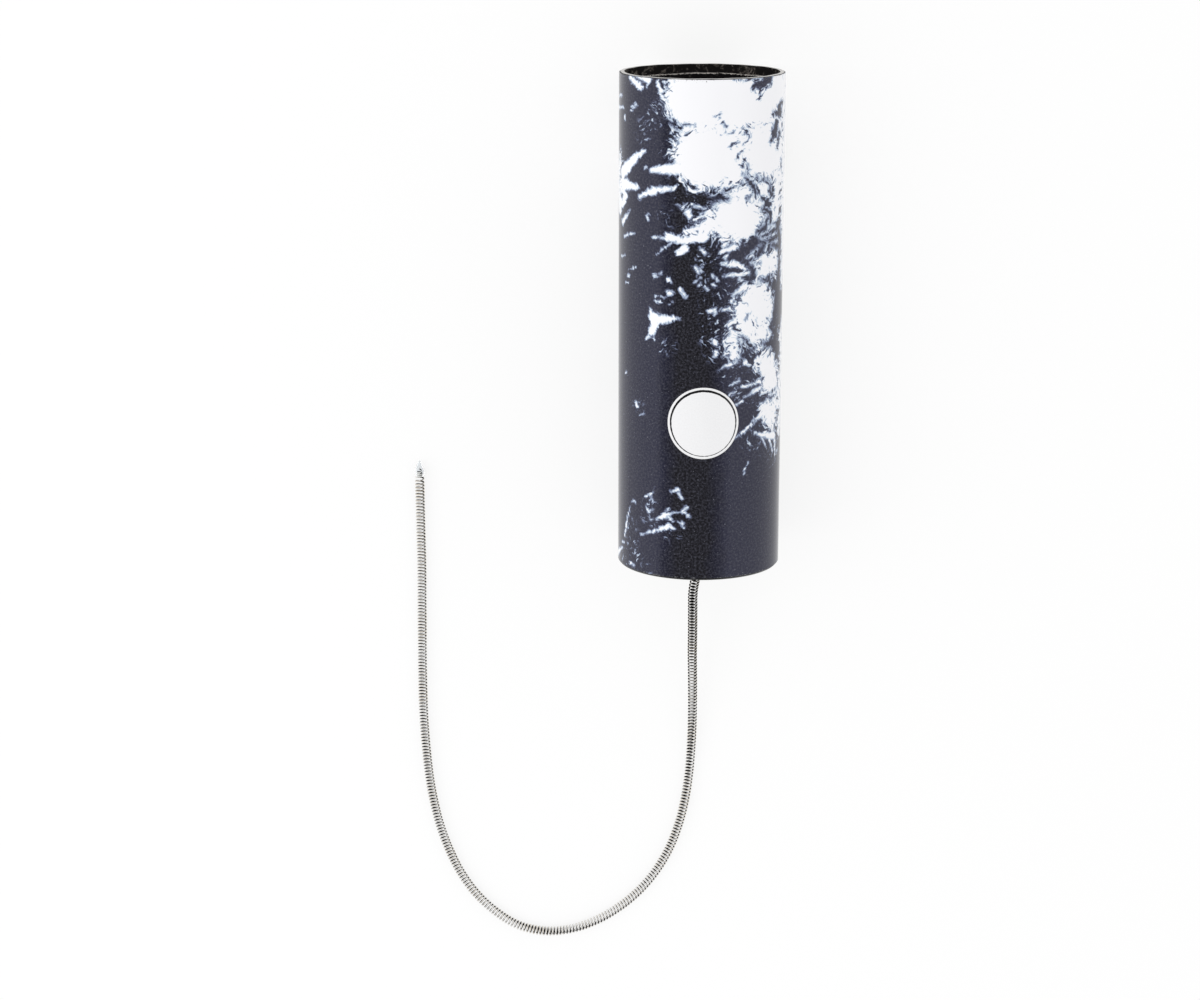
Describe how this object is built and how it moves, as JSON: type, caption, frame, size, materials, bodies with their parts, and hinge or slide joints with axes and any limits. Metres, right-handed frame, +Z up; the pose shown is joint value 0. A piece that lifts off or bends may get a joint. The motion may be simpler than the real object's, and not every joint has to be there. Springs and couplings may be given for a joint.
{
  "type": "thunder drum",
  "caption": "Open-ended tube drum lying on its side, with a film head at one end and a long thin coil spring hooked to the head's middle and laid out in a bow.",
  "frame": {"origin": "on the floor, under the middle of the tube's length, on the flat of the wrap that the drum lies on", "axes": "+Y along the tube out of its open end, +Z up from the surface that the drum lies on, the spring laid out to -X"},
  "size_m": [0.1537, 0.3847, 0.0671],
  "materials": {
    "board": "solid wound paperboard, pale grey and matt on its cut edge",
    "lining": "matt black lining sheet with fibrous scuffs",
    "printed_sheet": "gloss laminated print, charcoal tie-dye on white",
    "head_film": "black polyester film, satin",
    "patch": "black stiff sheet, satin",
    "washer_steel": "zinc-plated steel",
    "pin_steel": "zinc-plated steel wire",
    "spring_steel": "bright spring steel wire",
    "clear_drop": "clear soft plastic",
    "label": "coated white label with a dark ring"
  },
  "bodies": {
    "drum": {"tube_body": "board", "inner_liner": "lining", "printed_wrap": "printed_sheet", "drum_head": "head_film", "head_patch": "patch", "anchor_washer": "washer_steel", "round_label": "label"},
    "pin": {"anchor_pin": "pin_steel"},
    "spring": {"long_spring": "spring_steel", "tip_cap": "clear_drop"}
  },
  "joints": [
    {"name": "pin_swivel", "type": "hinge", "parent": "drum", "child": "pin", "pos_m": [0, -0.1068, 0.0334], "axis": [0, 1, 0], "continuous": true},
    {"name": "spring_swing", "type": "hinge", "parent": "pin", "child": "spring", "pos_m": [0, -0.1068, 0.0334], "axis": [-1, 0, 0], "range_deg": [-46, 102]}
  ]
}
